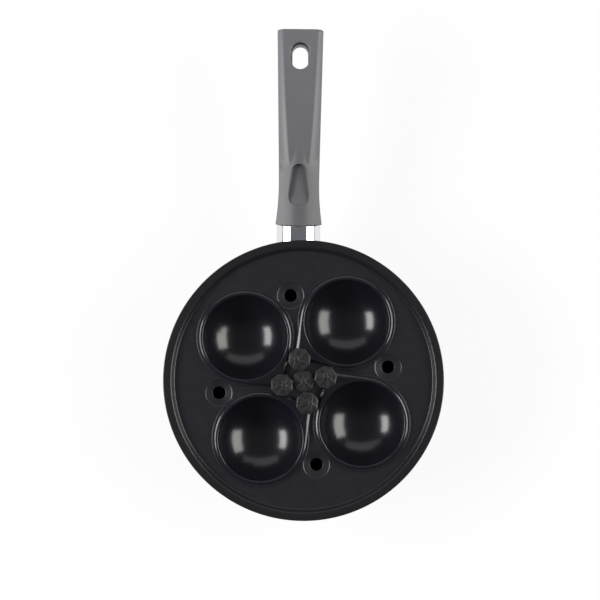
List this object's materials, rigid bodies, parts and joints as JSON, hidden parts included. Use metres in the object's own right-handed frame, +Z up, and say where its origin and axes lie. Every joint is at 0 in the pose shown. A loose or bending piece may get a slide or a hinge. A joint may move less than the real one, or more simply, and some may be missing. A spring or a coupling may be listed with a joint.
{
  "type": "egg poaching pan",
  "caption": "Round non-stick egg poaching pan: a lift-out tray with steam vents holds round egg cups with lifting knobs, and a chromed ferrule joins a moulded handle with a hanging slot.",
  "frame": {"origin": "centre of the pan's flat base, on the underside", "axes": "+Z up, +Y from the pan's axis through the handle's foot, +X to the right seen from above with the handle at the top"},
  "size_m": [0.2026, 0.3538, 0.0698],
  "materials": {
    "pan_coat": "satin",
    "tray_coat": "satin",
    "cup_coat": "gloss",
    "knob_plastic": "satin",
    "grip_plastic": "matte",
    "ferrule_chrome": "polished",
    "bracket_steel": "satin",
    "fastener_steel": "satin"
  },
  "bodies": {
    "pan": {"pan_body": "pan_coat", "handle_bracket": "bracket_steel", "rivet_left": "fastener_steel", "rivet_right": "fastener_steel", "ferrule": "ferrule_chrome", "handle_grip": "grip_plastic", "handle_screw": "fastener_steel"},
    "tray": {"tray": "tray_coat", "tray_knob": "knob_plastic", "tray_knob_screw": "fastener_steel"},
    "cup_1": {"cup_1": "cup_coat", "cup_1_knob": "knob_plastic", "cup_1_knob_screw": "fastener_steel"},
    "cup_2": {"cup_2": "cup_coat", "cup_2_knob": "knob_plastic", "cup_2_knob_screw": "fastener_steel"},
    "cup_3": {"cup_3": "cup_coat", "cup_3_knob": "knob_plastic", "cup_3_knob_screw": "fastener_steel"},
    "cup_4": {"cup_4": "cup_coat", "cup_4_knob": "knob_plastic", "cup_4_knob_screw": "fastener_steel"}
  },
  "joints": [
    {"name": "tray_lift", "type": "slide", "parent": "pan", "child": "tray", "axis": [0, 0, 1], "range_m": [0, 0.08]},
    {"name": "cup_1_lift", "type": "slide", "parent": "tray", "child": "cup_1", "axis": [0, 0, 1], "range_m": [0, 0.05]},
    {"name": "cup_2_lift", "type": "slide", "parent": "tray", "child": "cup_2", "axis": [0, 0, 1], "range_m": [0, 0.05]},
    {"name": "cup_3_lift", "type": "slide", "parent": "tray", "child": "cup_3", "axis": [0, 0, 1], "range_m": [0, 0.05]},
    {"name": "cup_4_lift", "type": "slide", "parent": "tray", "child": "cup_4", "axis": [0, 0, 1], "range_m": [0, 0.05]}
  ]
}
